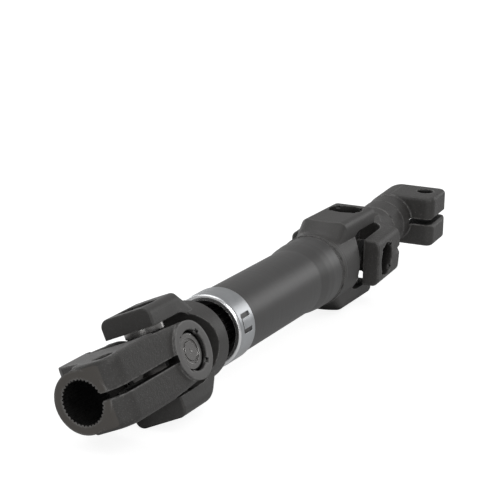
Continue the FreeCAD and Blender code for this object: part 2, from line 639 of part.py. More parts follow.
def build_far_clamp_yoke():
    """Fork, round neck and split clamp forged in one; the clamp opens towards the fork's +Z arm."""
    name = "far_clamp_yoke"
    body = new_body(name)
    foot = ("size.far_yoke_foot_x", "size.far_yoke_foot_radius")
    end = ("size.far_root_end", "size.far_root_radius")
    build_fork(body, name, "size.arm_outer", "size.far_yoke_flare_x", foot, end)
    block = new_sketch(body, "XZ_Plane", name + "_block")
    add_outline(block, [
        ("size.far_clamp_start", "0"),
        ("size.far_clamp_end", "0"),
        ("size.far_clamp_end", "size.far_clamp_reach"),
        ("size.far_clamp_start", "size.far_clamp_reach"),
    ])
    pad(body, name + "_lugs", block, "2 * size.far_clamp_half_height")
    reach = size.far_clamp_reach

    def upright_corner(edge):
        return near(edge.CenterOfMass.z, reach) and spans(edge)[1] > size.far_clamp_half_height

    def around_lug(edge):
        middle = edge.CenterOfMass
        return near(abs(middle.y), size.far_clamp_half_height) and middle.z > 1 \
            and middle.x > size.far_root_end

    round_edges(body, name + "_corners", "size.far_corner_round", upright_corner)
    round_edges(body, name + "_lug_edges", "size.far_lug_round", around_lug)
    neck = new_sketch(body, "XZ_Plane", name + "_neck")
    groove = "size.far_neck_groove"
    add_outline(neck, [
        ("size.far_neck_start", "0"),
        ("size.far_neck_start", "size.far_root_radius"),
        ("size.far_root_end", "size.far_root_radius"),
        ("size.far_root_end + size.arm_edge_round", "size.far_neck_radius"),
        (f"size.far_neck_step - {groove}", "size.far_neck_radius"),
        ("size.far_neck_step", f"size.far_neck_radius - {groove}"),
        (f"size.far_neck_step + {groove}", "size.far_neck_radius"),
        (f"size.far_neck_bead - {groove}", "size.far_neck_radius"),
        ("size.far_neck_bead", f"size.far_neck_radius + {groove} / 2"),
        (f"size.far_neck_bead + {groove}", "size.far_neck_radius"),
        ("size.far_clamp_start", "size.far_neck_radius"),
        (f"size.far_clamp_start + {groove}", "size.far_clamp_ring"),
        (f"size.far_clamp_end - {groove}", "size.far_clamp_ring"),
        ("size.far_clamp_end", f"size.far_clamp_ring - {groove}"),
        ("size.far_clamp_end", "0"),
    ])
    turn(body, name + "_round_neck", neck)
    open_fork(body, name, "size.arm_outer")
    cut_serrations(body, name, "size.far_clamp_end", "size.bore_depth", False)
    slit = new_sketch(body, "XZ_Plane", name + "_slit")
    add_outline(slit, [
        ("size.far_clamp_start - size.far_slit_run", "0"),
        ("size.far_clamp_end + size.slit_width", "0"),
        ("size.far_clamp_end + size.slit_width", "size.far_clamp_reach + size.slit_width"),
        ("size.far_clamp_start - size.far_slit_run", "size.far_clamp_reach + size.slit_width"),
    ])
    pocket(body, name + "_slit_cut", slit, "size.slit_width")
    mouth = new_sketch(body, "YZ_Plane", name + "_mouth")
    mouth_half = "(size.slit_width / 2 + size.far_mouth_bevel)"
    add_outline(mouth, [
        (f"-{mouth_half} - 1", "size.far_clamp_reach + 1"),
        ("0", f"size.far_clamp_reach - {mouth_half}"),
        (f"{mouth_half} + 1", "size.far_clamp_reach + 1"),
    ])
    pocket(body, name + "_slit_mouth", mouth, "size.far_clamp_end + 1", False, True)
    bolt = new_sketch(body, "XZ_Plane", name + "_bolt")
    add_circle(bolt, "size.bolt_hole_radius", "size.far_bolt_x", "size.far_bolt_y")
    pocket(body, name + "_bolt_hole", bolt)
    finish_node(name, body, far_clamp_frame * RIGHT)


def build_near_clamp_yoke():
    """Short broad yoke: bearing arms on both sides of a split clamp, open on the -Y side."""
    name = "near_clamp_yoke"
    body = new_body(name)
    side = new_sketch(body, "XZ_Plane", name + "_slab")
    add_outline(side, [
        ("-size.near_clamp_end", "-size.near_clamp_half_height"),
        ("-size.near_taper_start", "-size.near_clamp_half_height"),
        ("0", "-size.near_boss_radius"),
        ("0", "size.near_boss_radius"),
        ("-size.near_taper_start", "size.near_clamp_half_height"),
        ("-size.near_clamp_end", "size.near_clamp_half_height"),
    ])
    pad(body, name + "_slab_block", side, "2 * size.near_side")
    relief = new_sketch(body, "XY_Plane", name + "_relief")
    outside = "size.near_side + 1"
    add_outline(relief, [
        ("-size.near_clamp_end - 1", "0"),
        ("-size.near_far_arm_start - size.near_corner_round", "0"),
        ("-size.near_far_arm_start", "size.near_side - size.near_corner_round"),
        ("-size.near_far_arm_start + size.near_corner_round", "size.near_side"),
        ("-size.near_far_arm_start + size.near_corner_round", outside),
        ("-size.near_clamp_end - 1", outside),
    ])
    pocket(body, name + "_relief_cut", relief)

    def long_edge(edge):
        middle = edge.CenterOfMass
        return near(abs(middle.y), size.near_side) and abs(middle.z) > size.near_boss_radius - 1 \
            and spans(edge)[0] > 1

    def front_corner(edge):
        middle = edge.CenterOfMass
        return near(middle.x, -size.near_clamp_end) and near(middle.y, -size.near_side)

    round_edges(body, name + "_front_corner", "size.near_front_round", front_corner)
    round_edges(body, name + "_long_edges", "size.near_edge_round", long_edge)
    boss = new_sketch(body, "XZ_Plane", name + "_boss")
    add_circle(boss, "size.near_boss_radius")
    pad(body, name + "_bosses", boss, "2 * size.near_boss_face")
    ring = new_sketch(body, "YZ_Plane", name + "_ring", "-size.near_clamp_end")
    add_circle(ring, "size.near_clamp_ring")
    pad(body, name + "_round_side", ring, "size.near_clamp_end - size.near_ring_end", False)
    crotch = new_sketch(body, "XY_Plane", name + "_crotch")
    add_outline(crotch, [
        ("-size.near_crotch_end", "-size.near_arm_gap"),
        ("size.near_boss_radius + 1", "-size.near_arm_gap"),
        ("size.near_boss_radius + 1", "size.near_arm_gap"),
        ("-size.near_crotch_end", "size.near_arm_gap"),
    ])
    pocket(body, name + "_gap", crotch)

    def crotch_corner(edge):
        middle = edge.CenterOfMass
        at_corner = near(middle.x, -size.near_crotch_end) and near(abs(middle.y), size.near_arm_gap)
        return at_corner and spans(edge)[2] > size.near_crotch_round

    round_edges(body, name + "_crotch_corners", "size.near_crotch_round", crotch_corner)
    relief = new_sketch(body, "YZ_Plane", name + "_arm_relief", "size.near_boss_radius + 1")
    low = "(size.near_clamp_half_height - size.near_relief)"
    for side in ("", "-"):
        for sign in ("", "-"):
            add_outline(relief, [
                (f"{side}(size.near_arm_gap - 1)", f"{sign}({low} - 1)"),
                (f"{side}(size.near_arm_gap + 2 * size.near_relief)", f"{sign}({low} + 2 * size.near_relief)"),
                (f"{side}(size.near_arm_gap - 1)", f"{sign}({low} + 2 * size.near_relief)"),
            ])
    reach = "size.near_boss_radius + 1 + size.near_crotch_end - size.near_crotch_round"
    pocket(body, name + "_arm_reliefs", relief, reach, False, False)
    bore = new_sketch(body, "XZ_Plane", name + "_bore")
    add_circle(bore, "size.cup_radius")
    pocket(body, name + "_bores", bore)
    rim = 2 * math.pi * size.cup_radius

    def bore_rim(edge):
        return near(abs(edge.CenterOfMass.y), size.near_boss_face) and near(edge.Length, rim)

    bevel_edges(body, name + "_bore_rims", "size.bore_bevel", bore_rim)
    stake_cup_bores(body, name, "XZ_Plane", "Y_Axis", "size.near_boss_face")
    through = "size.near_clamp_end - size.near_crotch_end + size.near_crotch_round"
    cut_serrations(body, name, "-size.near_clamp_end", through, True)
    slit = new_sketch(body, "XY_Plane", name + "_slit")
    add_outline(slit, [
        ("-size.near_clamp_end - 1", "0"),
        ("-size.near_slit_end", "0"),
        ("-size.near_slit_end", "-size.near_boss_face - 1"),
        ("-size.near_clamp_end - 1", "-size.near_boss_face - 1"),
    ])
    pocket(body, name + "_slit_cut", slit, "size.slit_width")
    bolt = new_sketch(body, "XY_Plane", name + "_bolt")
    add_circle(bolt, "size.bolt_hole_radius", "-size.near_bolt_x", "-size.near_bolt_y")
    pocket(body, name + "_bolt_hole", bolt)
    finish_node(name, body, near_clamp_frame)


# Sliding shaft, bush, seal, collar and tube

def tooth_outline(sketch, low, high, width):
    add_outline(sketch, [
        (f"-{width} / 2", low),
        (f"{width} / 2", low),
        (f"{width} / 2", high),
        (f"-{width} / 2", high),
    ])


ROOT_RADIUS = "(size.spline_radius - size.spline_depth)"


def build_inner_shaft():
    """Round end seated in the shaft yoke, then straight-sided teeth to the free end."""
    name = "inner_shaft"
    body = new_body(name)
    plain = new_sketch(body, "YZ_Plane", name + "_plain", "size.shaft_start")
    add_circle(plain, "size.spline_radius")
    pad(body, name + "_seat", plain, "size.shaft_yoke_hub_end - size.shaft_start + size.spline_depth", False)
    core = new_sketch(body, "YZ_Plane", name + "_core", "size.shaft_start")
    add_circle(core, ROOT_RADIUS)
    pad(body, name + "_core_bar", core, "size.shaft_length", False)
    tooth = new_sketch(body, "YZ_Plane", name + "_tooth", "size.shaft_yoke_hub_end")
    tooth_outline(tooth, ROOT_RADIUS + " - size.spline_depth / 2", "size.spline_radius", "size.spline_tooth_width")
    toothed = "size.shaft_start + size.shaft_length - size.shaft_yoke_hub_end"
    first = pad(body, name + "_first_tooth", tooth, toothed, False)
    around(body, name + "_teeth", [first], "X_Axis", "size.spline_teeth")
    finish_node(name, body, near_frame)


def build_slide_bush():
    """Splined bush pressed in the tube, in which the inner shaft slides."""
    name = "slide_bush"
    body = new_body(name)
    start = "size.collar_start + size.bush_start"
    ring = new_sketch(body, "YZ_Plane", name + "_ring", start)
    add_circle(ring, "size.tube_bore + size.press_overlap")
    add_circle(ring, ROOT_RADIUS + " + size.slide_gap")
    pad(body, name + "_ring_bar", ring, "size.bush_length", False)
    slot = new_sketch(body, "YZ_Plane", name + "_slot", start + " + size.bush_length")
    tooth_outline(slot, ROOT_RADIUS + " - size.spline_depth / 2", "size.spline_radius + size.slide_gap",
                  "(size.spline_tooth_width + 2 * size.slide_gap)")
    first = pocket(body, name + "_first_slot", slot, "size.bush_length", False)
    around(body, name + "_slots", [first], "X_Axis", "size.spline_teeth")
    finish_node(name, body, near_frame)


def build_wiper_seal():
    """Rubber ring in the mouth of the tube, with a lip towards the shaft."""
    name = "wiper_seal"
    body = new_body(name)
    sketch = new_sketch(body, "XZ_Plane", name + "_section")
    start = "size.collar_start + size.wiper_start"
    lip = "size.spline_radius + size.slide_gap"
    add_outline(sketch, [
        (start, "size.tube_bore"),
        (start, lip + " + size.seal_lip"),
        (start + " + size.seal_lip", lip),
        (start + " + 2 * size.seal_lip", lip + " + size.seal_lip"),
        (start + " + size.wiper_length", lip + " + size.seal_lip"),
        (start + " + size.wiper_length", "size.tube_bore"),
    ])
    turn(body, name + "_turned", sketch)
    finish_node(name, body, shaft_line)


def build_outer_tube():
    """Tube that widens in two steps to meet the tube yoke."""
    name = "outer_tube"
    body = new_body(name)
    sketch = new_sketch(body, "XZ_Plane", name + "_section")
    lip = "size.collar_start"
    add_outline(sketch, [
        (lip + " + size.tube_inset", "size.tube_bore"),
        (lip + " + size.tube_inset", "size.tube_radius"),
        (lip + " + size.tube_span - size.flare_start", "size.tube_radius"),
        (lip + " + size.tube_span - size.flare_middle", "size.flare_middle_radius"),
        (lip + " + size.tube_span - size.flare_end", "size.flare_radius"),
        (lip + " + size.tube_span", "size.flare_radius"),
        (lip + " + size.tube_span", "size.tube_bore"),
    ])
    turn(body, name + "_turned", sketch)

    def flare_step(edge):
        return size.tube_radius - 0.1 < edge.BoundBox.YMax < size.flare_radius + 0.1 \
            and near(edge.BoundBox.XLength, 0) \
            and number(lip) + size.tube_inset + 1 < edge.CenterOfMass.x < number(lip) + size.tube_span - 1

    round_edges(body, name + "_flare_steps", "size.flare_round", flare_step)
    finish_node(name, body, shaft_line)


def build_end_collar():
    """Thin plated collar over the tube's end, with a rolled lip and lanced latch tabs."""
    name = "end_collar"
    body = new_body(name)
    sketch = new_sketch(body, "XZ_Plane", name + "_section")
    lip = "size.collar_start"
    inside = "size.collar_radius - size.collar_wall - size.press_overlap"
    add_outline(sketch, [
        (lip, "size.collar_lip_radius"),
        (lip, "size.collar_radius"),
        (lip + " + size.collar_length", "size.collar_radius"),
        (lip + " + size.collar_length", inside),
        (lip + " + size.collar_lip_round", inside),
        (lip + " + size.collar_lip_round", "size.collar_lip_radius"),
    ])
    turn(body, name + "_turned", sketch)

    def outer_lip(edge):
        middle = edge.BoundBox
        return near(middle.XMin, size.collar_start) and near(middle.YMax, size.collar_radius)

    round_edges(body, name + "_rolled_lip", "0.95 * size.collar_lip_round", outer_lip)
    window = new_sketch(body, "XZ_Plane", name + "_latch")
    front = lip + " + size.window_start"
    back = front + " + size.window_length"
    half = "size.window_width / 2"
    tab = "(size.window_width / 2 - size.window_slot)"
    add_outline(window, [
        (front, "-" + half + " + size.window_corner"),
        (front + " + size.window_corner", "-" + half),
        (back, "-" + half),
        (back, "-" + tab),
        (front + " + size.window_end", "-" + tab),
        (front + " + size.window_end", tab),
        (back, tab),
        (back, half),
        (front + " + size.window_corner", half),
        (front, half + " - size.window_corner"),
    ])
    first = pocket(body, name + "_latch_cut", window, "size.collar_radius + size.window_slot", False, True)
    around(body, name + "_latches", [first], "X_Axis", "size.window_count")
    finish_node(name, body, shaft_line * turned(about_x, -size.window_angle))


build_outer_tube()
build_end_collar()
build_wiper_seal()
build_slide_bush()
build_tube_yoke()
build_bearings("tube_yoke", far_frame, UPRIGHT)
build_inner_shaft()
build_shaft_yoke()
build_bearings("shaft_yoke", near_frame, UPRIGHT)
build_cross_set("near", near_cross_frame)
build_near_clamp_yoke()
build_bearings("near_clamp", near_clamp_frame, LEVEL)
build_cross_set("far", far_cross_frame)
build_far_clamp_yoke()
build_bearings("far_clamp", far_clamp_frame, LEVEL)

doc.recompute()
failed = [item.Name for item in doc.Objects if "Invalid" in item.State or "Error" in item.State]
if failed:
    raise RuntimeError("objects that failed: " + ", ".join(failed))

os.makedirs("parts", exist_ok=True)
for name, part in nodes.items():
    shape = part.Shape
    if shape.isNull() or not shape.isValid() or not shape.Solids:
        raise RuntimeError(name + " has no valid solid")
    shape.exportStep(f"parts/{name}.step")
    print(f"{name}: {len(shape.Solids)} solid, {shape.Volume:.1f} mm3")
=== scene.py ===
import json
import math

import bmesh
import bpy
from mathutils import Matrix, Vector


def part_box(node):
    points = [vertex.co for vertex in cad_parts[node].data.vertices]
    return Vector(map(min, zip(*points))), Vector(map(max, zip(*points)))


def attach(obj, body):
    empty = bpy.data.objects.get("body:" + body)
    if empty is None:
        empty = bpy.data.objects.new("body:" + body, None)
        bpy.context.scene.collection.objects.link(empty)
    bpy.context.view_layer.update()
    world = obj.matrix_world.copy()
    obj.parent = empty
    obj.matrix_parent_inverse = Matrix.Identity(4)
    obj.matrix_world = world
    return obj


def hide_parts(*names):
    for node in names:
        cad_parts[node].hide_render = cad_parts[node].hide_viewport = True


# Looks of a telescopic intermediate steering shaft with a universal joint and a clamp at each end.
# Metres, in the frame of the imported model: +X along the tube, +Z up, z = 0 the surface it lies on.

MILLIMETRE = 0.001
SMOOTH_ANGLE = math.radians(32)

# Values of a noise between which a colour or a roughness changes
NOISE_MIDDLE = (0.3, 0.7)
NOISE_WIDE = (0.2, 0.8)

# Masks of edges, which are brightened as wear and as a painted highlight, from how well the rounded normal matches
# the true one, and of hollows, which get painted shade
FLAT_MATCH = 0.995
EDGE_MATCH = 0.86
EDGE_SAMPLES = 6
HOLLOW_REACH = 16.0 * MILLIMETRE
HOLLOW_SAMPLES = 8

# Depths under a machined face at which its bare steel begins and is complete
FACE_START = 0.4 * MILLIMETRE
FACE_FULL = 0.2 * MILLIMETRE

# Parts of the near clamp yoke that look different, from the centre of its joint: bare machined faces, and a bore
# and slit painted black as shade
BOSS_FACE = 18.5 * MILLIMETRE
BORE_RADIUS = 8.5 * MILLIMETRE
TOOTH_DEPTH = 0.6 * MILLIMETRE
SLIT_WIDTH = 2.8 * MILLIMETRE
SLIT_START = 11.4 * MILLIMETRE
SLIT_END = 48.4 * MILLIMETRE
SLIT_DEPTH = 37.0 * MILLIMETRE
SLIT_MARGIN = 1.04
END_MARGIN = 0.1 * MILLIMETRE

# Polished lip of the end collar, made brighter as a painted highlight
LIP_LENGTH = 0.8 * MILLIMETRE
LIP_BLEND = 0.3 * MILLIMETRE

# Back of the far clamp yoke's arm and the groove over it, from the centre of its joint
ARM_OUTER = 22.0 * MILLIMETRE
GROOVE_FLOOR = 20.3 * MILLIMETRE
GROOVE_START = 7.0 * MILLIMETRE
GROOVE_END = 24.0 * MILLIMETRE
BEND_START = 14.85 * MILLIMETRE
BEND_RADIUS = 9.5 * MILLIMETRE
GROOVE_SLACK = 0.03 * MILLIMETRE
GROOVE_CUTS = 16
SAME_PLACE_DIGITS = 7

# View of the photograph, from a fit of the shaft's outline in its frame of 500 by 500 pixels
FRAME_WIDTH = 500
FOCAL_PIXELS = 2010.3
SENSOR_WIDTH = 36.0
CAMERA_FROM_NEAR_JOINT = Vector((-0.6723, -0.3006, 0.2165))
CAMERA_AZIMUTH = math.radians(-68.536)
CAMERA_ELEVATION = math.radians(13.104)
CAMERA_ROLL = math.radians(2.76)
CLIP_START = 0.01
CLIP_END = 50.0

# Studio: a strength of 1 is white
FLOOR_REACH = 12.0
FLOOR_TO_CAMERA = 0.88
FLOOR_IN_REFLECTIONS = 0.25
FLOOR_AS_LAMP = 0.30
FLOOR_COLOUR = (0.30, 0.30, 0.30, 1.0)
WORLD_TO_CAMERA = 1.0
WORLD_AS_LAMP = 0.40
WHITE = (1.0, 1.0, 1.0, 1.0)

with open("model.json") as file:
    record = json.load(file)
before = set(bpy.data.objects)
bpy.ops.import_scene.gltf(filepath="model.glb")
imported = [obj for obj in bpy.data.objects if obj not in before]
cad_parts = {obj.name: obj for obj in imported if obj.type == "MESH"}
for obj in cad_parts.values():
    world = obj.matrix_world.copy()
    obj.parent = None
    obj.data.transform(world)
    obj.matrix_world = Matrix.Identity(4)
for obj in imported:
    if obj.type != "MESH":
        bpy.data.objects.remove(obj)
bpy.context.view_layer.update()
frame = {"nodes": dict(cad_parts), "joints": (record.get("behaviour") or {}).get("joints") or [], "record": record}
joints = {joint["name"]: joint for joint in frame["joints"]}
mounts = {mount["name"]: mount for mount in frame["record"]["mounts"]}
near_joint = Vector(joints["near_swing"]["pos_m"])
far_joint = Vector(joints["far_swing"]["pos_m"])


# Shader graphs

class Graph:
    """Node tree of one material, with a short way to add and join nodes."""

    def __init__(self, name):
        self.material = bpy.data.materials.new(name)
        self.material.use_nodes = True
        self.tree = self.material.node_tree
        self.shader = self.tree.nodes["Principled BSDF"]
        self.coordinates = self.add("ShaderNodeTexCoord").outputs["Object"]

    def add(self, kind, inputs=None, **settings):
        node = self.tree.nodes.new(kind)
        for name, value in settings.items():
            setattr(node, name, value)
        for name, value in (inputs or {}).items():
            self.feed(node.inputs[name], value)
        return node

    def feed(self, socket, value):
        if isinstance(value, bpy.types.NodeSocket):
            self.tree.links.new(value, socket)
        else:
            socket.default_value = value

    def noise(self, scale, detail, roughness, stretch=None):
        """Noise from 0 to 1, with a feature size of about one over scale metres."""
        place = self.coordinates
        if stretch is not None:
            mapping = self.add("ShaderNodeMapping", {"Vector": place, "Scale": stretch})
            place = mapping.outputs["Vector"]
        inputs = {"Vector": place, "Scale": scale, "Detail": detail, "Roughness": roughness}
        return self.add("ShaderNodeTexNoise", inputs).outputs["Fac"]

    def spread(self, value, low, high, start=0.0, end=1.0):
        """Value mapped from low..high to start..end, and held there outside."""
        inputs = {"Value": value, "From Min": low, "From Max": high, "To Min": start, "To Max": end}
        return self.add("ShaderNodeMapRange", inputs).outputs["Result"]

    def math(self, operation, first, second=0.0):
        inputs = {0: first, 1: second}
        return self.add("ShaderNodeMath", inputs, operation=operation).outputs[0]

    def vector(self, operation, first, second=None):
        inputs = {0: first} if second is None else {0: first, 1: second}
        return self.add("ShaderNodeVectorMath", inputs, operation=operation).outputs

    def mix(self, factor, first, second):
        """Colour that goes from first to second as factor goes from 0 to 1."""
        inputs = {0: factor, 6: first, 7: second}
        return self.add("ShaderNodeMix", inputs, data_type="RGBA").outputs[2]

    def along(self, direction):
        """Distance of the surface along a direction of the row frame."""
        return self.vector("DOT_PRODUCT", self.coordinates, direction)["Value"]

    def within(self, point, direction, low, high):
        """1 where the surface lies from low to high along a direction from a point, otherwise 0."""
        base = point.dot(direction)
        height = self.along(direction)
        above = self.math("GREATER_THAN", height, base + low)
        return self.math("MULTIPLY", above, self.math("LESS_THAN", height, base + high))

    def near_line(self, point, direction, radius):
        """1 closer than a radius to the line through a point, otherwise 0."""
        offset = self.vector("SUBTRACT", self.coordinates, point)["Vector"]
        across = self.vector("CROSS_PRODUCT", offset, direction)["Vector"]
        return self.math("LESS_THAN", self.vector("LENGTH", across)["Value"], radius)

    def soft_edges(self, radius):
        """Normal that rounds sharp edges, and a mask that is 1 on those edges."""
        bevel = self.add("ShaderNodeBevel", {"Radius": radius}, samples=EDGE_SAMPLES)
        rounded = bevel.outputs["Normal"]
        true_normal = self.add("ShaderNodeNewGeometry").outputs["Normal"]
        match = self.vector("DOT_PRODUCT", rounded, true_normal)["Value"]
        return rounded, self.spread(match, FLAT_MATCH, EDGE_MATCH)

    def openness(self):
        """1 on open surfaces, down to 0 deep in bores and slits."""
        inputs = {"Distance": HOLLOW_REACH}
        return self.add("ShaderNodeAmbientOcclusion", inputs, samples=HOLLOW_SAMPLES).outputs["AO"]

    def bump(self, height, distance, strength, normal):
        inputs = {"Height": height, "Distance": distance, "Strength": strength, "Normal": normal}
        return self.add("ShaderNodeBump", inputs).outputs["Normal"]

    def finish(self, **inputs):
        """Set the shader's inputs, named with underscores for spaces, and give the material."""
        for name, value in inputs.items():
            self.feed(self.shader.inputs[name.replace("_", " ")], value)
        return self.material


def grey(value, warmth=0.0):
    """Linear colour from a level, warmer above 0 and cooler below."""
    return (value * (1 + warmth), value, value * (1 - warmth), 1.0)


def forged_coat(name, grit, edge_radius, machined=(), bore=None, slit=()):
    """Thin dark coating over forged steel: fine grain, dull patches, and edges brightened partly as wear and
    partly as a painted highlight.

    Grit from 0 to 1 makes the grain coarser, and edges look round to the given radius. Each
    machined face has a point, a direction, the distance along it from the point to the face and
    a colour; the same distance the other way counts too. Surfaces deep in hollows are painted
    near black as shade. The bore, a point, a direction, a radius and the place of its open end,
    and the slit, as limits along three directions, are painted black inside as shade.
    """
    graph = Graph(name)
    rounded, edges = graph.soft_edges(edge_radius)
    grain = graph.noise(scale=1900.0, detail=5.0, roughness=0.6)
    dimples = graph.noise(scale=520.0, detail=3.0, roughness=0.5)
    patches = graph.noise(scale=45.0, detail=4.0, roughness=0.6)
    # Edges are brightened towards bare steel in speckles: partly rubbed wear, partly a painted highlight on the
    # rounded edges.
    rubbed_and_highlit = graph.math("MULTIPLY", edges, graph.spread(dimples, 0.3, 0.55))
    dull, fresh = grey(0.030, 0.05), grey(0.040, 0.04)
    bare_steel_and_highlight, unlit = grey(0.19, 0.02), grey(0.002)
    colour = graph.mix(graph.spread(patches, *NOISE_MIDDLE), dull, fresh)
    colour = graph.mix(graph.spread(grain, 0.56, 0.72), colour, grey(0.04 + 0.05 * grit, 0.03))
    strength = grit
    for point, direction, distance, face_colour in machined:
        offset = graph.math("SUBTRACT", graph.along(direction), point.dot(direction))
        height = graph.math("ABSOLUTE", offset)
        face = graph.spread(height, distance - FACE_START, distance - FACE_FULL)
        colour = graph.mix(face, colour, face_colour)
        strength = graph.math("MULTIPLY", graph.spread(face, 0.0, 1.0, 1.0, 0.3), strength)
    colour = graph.mix(rubbed_and_highlit, colour, bare_steel_and_highlight)
    # Painted shade: surfaces deep in hollows, and inside the bore and slit, turn near black and lose most of their
    # reflection.
    hollow_shade = graph.spread(graph.openness(), 0.58, 0.24)
    if bore is not None:
        in_slit = 1.0
        for limits in slit:
            in_slit = graph.math("MULTIPLY", graph.within(*limits), in_slit)
        point, direction, radius, mouth = bore
        round_bore = graph.near_line(point, direction, radius)
        in_bore = graph.math("MULTIPLY", round_bore, graph.within(point, direction, 0.0, mouth))
        inside = graph.math("MAXIMUM", in_bore, in_slit)
        hollow_shade = graph.math("MAXIMUM", hollow_shade, graph.math("MULTIPLY", inside, 0.9))
    colour = graph.mix(hollow_shade, colour, unlit)
    relief = graph.math("ADD", grain, graph.math("MULTIPLY", dimples, 1.6))
    return graph.finish(
        Base_Color=colour,
        Metallic=0.0,
        Roughness=graph.spread(patches, *NOISE_WIDE, 0.42, 0.56),
        Specular_IOR_Level=graph.spread(hollow_shade, 0.0, 1.0, 0.45, 0.02),
        Normal=graph.bump(relief, 0.12 * MILLIMETRE, strength, rounded),
    )


def tube_coat():
    """The same coating on drawn tube: smooth, with faint lines round the tube."""
    graph = Graph("tube_coat")
    rounded, edges = graph.soft_edges(0.4 * MILLIMETRE)
    draw_lines = graph.noise(scale=1400.0, detail=2.0, roughness=0.5, stretch=(1.0, 0.05, 0.05))
    skin = graph.noise(scale=2600.0, detail=3.0, roughness=0.5)
    patches = graph.noise(scale=30.0, detail=3.0, roughness=0.55)
    # Edges are brighter: partly rubbed wear, partly a painted highlight.
    dull, fresh, rubbed_and_highlit = grey(0.034, 0.02), grey(0.042, 0.02), grey(0.09)
    colour = graph.mix(graph.spread(patches, *NOISE_MIDDLE), dull, fresh)
    relief = graph.math("ADD", draw_lines, graph.math("MULTIPLY", skin, 0.8))
    return graph.finish(
        Base_Color=graph.mix(edges, colour, rubbed_and_highlit),
        Metallic=0.0,
        Roughness=graph.spread(draw_lines, *NOISE_WIDE, 0.36, 0.44),
        Specular_IOR_Level=0.5,
        Normal=graph.bump(relief, 0.03 * MILLIMETRE, 0.35, rounded),
    )


def zinc_plate(lip):
    """Satin zinc plating with a faint blue cast, polished on the rolled lip up to x = lip and made brighter there
    as a painted highlight.
    """
    graph = Graph("zinc_plate")
    rounded, edges = graph.soft_edges(0.35 * MILLIMETRE)
    turned = graph.noise(scale=1800.0, detail=2.0, roughness=0.5, stretch=(1.0, 0.04, 0.04))
    bloom = graph.noise(scale=160.0, detail=4.0, roughness=0.6)
    # The rolled lip is polished and brightened as a painted highlight.
    polished_highlight = graph.spread(graph.along((1, 0, 0)), lip, lip - LIP_BLEND)
    dull, fresh = grey(0.46, -0.03), grey(0.54, -0.03)
    # Edges are brighter, partly as wear and partly as a painted highlight, and the lip brighter still as a painted
    # highlight.
    worn_and_highlit, mirror_highlight = grey(0.75, -0.01), grey(0.92, -0.01)
    colour = graph.mix(graph.spread(bloom, *NOISE_MIDDLE), dull, fresh)
    colour = graph.mix(edges, colour, worn_and_highlit)
    satin = graph.spread(bloom, *NOISE_WIDE, 0.26, 0.38)
    relief = graph.math("ADD", turned, bloom)
    return graph.finish(
        Base_Color=graph.mix(polished_highlight, colour, mirror_highlight),
        Metallic=1.0,
        Roughness=graph.math("SUBTRACT", satin, graph.math("MULTIPLY", polished_highlight, 0.1)),
        Normal=graph.bump(relief, 0.02 * MILLIMETRE, 0.3, rounded),
    )


def steel(name, level, warmth, smooth, rough, lines=(1.0, 1.0, 1.0), relief=0.35, stained=0.72):
    """Bare steel of a grey level with fine tool marks, its roughness from smooth to rough."""
    graph = Graph(name)
    rounded, edges = graph.soft_edges(0.3 * MILLIMETRE)
    marks = graph.noise(scale=2200.0, detail=3.0, roughness=0.55, stretch=lines)
    stain = graph.noise(scale=240.0, detail=4.0, roughness=0.6)
    # Edges are brighter: partly wear, partly a painted highlight.
    clean, dark, worn_and_highlit = (grey(level * share, warmth) for share in (1.0, stained, 1.35))
    colour = graph.mix(graph.spread(stain, 0.3, 0.72), clean, dark)
    return graph.finish(
        Base_Color=graph.mix(edges, colour, worn_and_highlit),
        Metallic=1.0,
        Roughness=graph.spread(marks, 0.25, 0.75, smooth, rough),
        Normal=graph.bump(marks, 0.02 * MILLIMETRE, relief, rounded),
    )


def rubber():
    """Black rubber of the seals, with a dull skin."""
    graph = Graph("seal_rubber")
    rounded, _ = graph.soft_edges(0.2 * MILLIMETRE)
    skin = graph.noise(scale=2400.0, detail=3.0, roughness=0.6)
    return graph.finish(
        Base_Color=graph.mix(graph.spread(skin, 0.35, 0.7), grey(0.012), grey(0.022)),
        Roughness=graph.spread(skin, *NOISE_WIDE, 0.6, 0.75),
        Normal=graph.bump(skin, 0.03 * MILLIMETRE, 0.4, rounded),
    )


def bush_plastic():
    """Pale plastic of the slide bush, with flow marks from its mould."""
    graph = Graph("bush_plastic")
    rounded, _ = graph.soft_edges(0.2 * MILLIMETRE)
    flow = graph.noise(scale=700.0, detail=3.0, roughness=0.5)
    return graph.finish(
        Base_Color=graph.mix(graph.spread(flow, *NOISE_MIDDLE), grey(0.40, 0.10), grey(0.48, 0.08)),
        Roughness=graph.spread(flow, *NOISE_WIDE, 0.45, 0.58),
        Normal=graph.bump(flow, 0.02 * MILLIMETRE, 0.3, rounded),
    )


# Materials by CAD node

def near_clamp_coat():
    """Coating of the near clamp yoke: bare end and boss faces, and bore and slit painted black as shade."""
    ahead = Vector(mounts["near_splined_clamp"]["axis"])
    side = -Vector(joints["near_tilt"]["axis"])
    up = ahead.cross(side)
    end = (Vector(mounts["near_splined_clamp"]["pos_m"]) - near_joint).dot(ahead)
    end_face = (near_joint, ahead, end, grey(0.062, 0.10))
    boss_faces = (near_joint, -side, BOSS_FACE, grey(0.11, 0.02))
    # The bore and the slit are painted black inside as shade.
    bore = (near_joint, ahead, BORE_RADIUS + TOOTH_DEPTH, end - END_MARGIN)
    half_slit = SLIT_MARGIN * SLIT_WIDTH / 2
    slit = (
        (near_joint, up, -half_slit, half_slit),
        (near_joint, side, 0.0, SLIT_DEPTH),
        (near_joint, ahead, SLIT_START, SLIT_END),
    )
    faces = (end_face, boss_faces)
    return forged_coat("machined_coat", 0.9, 1.5 * MILLIMETRE, faces, bore, slit)


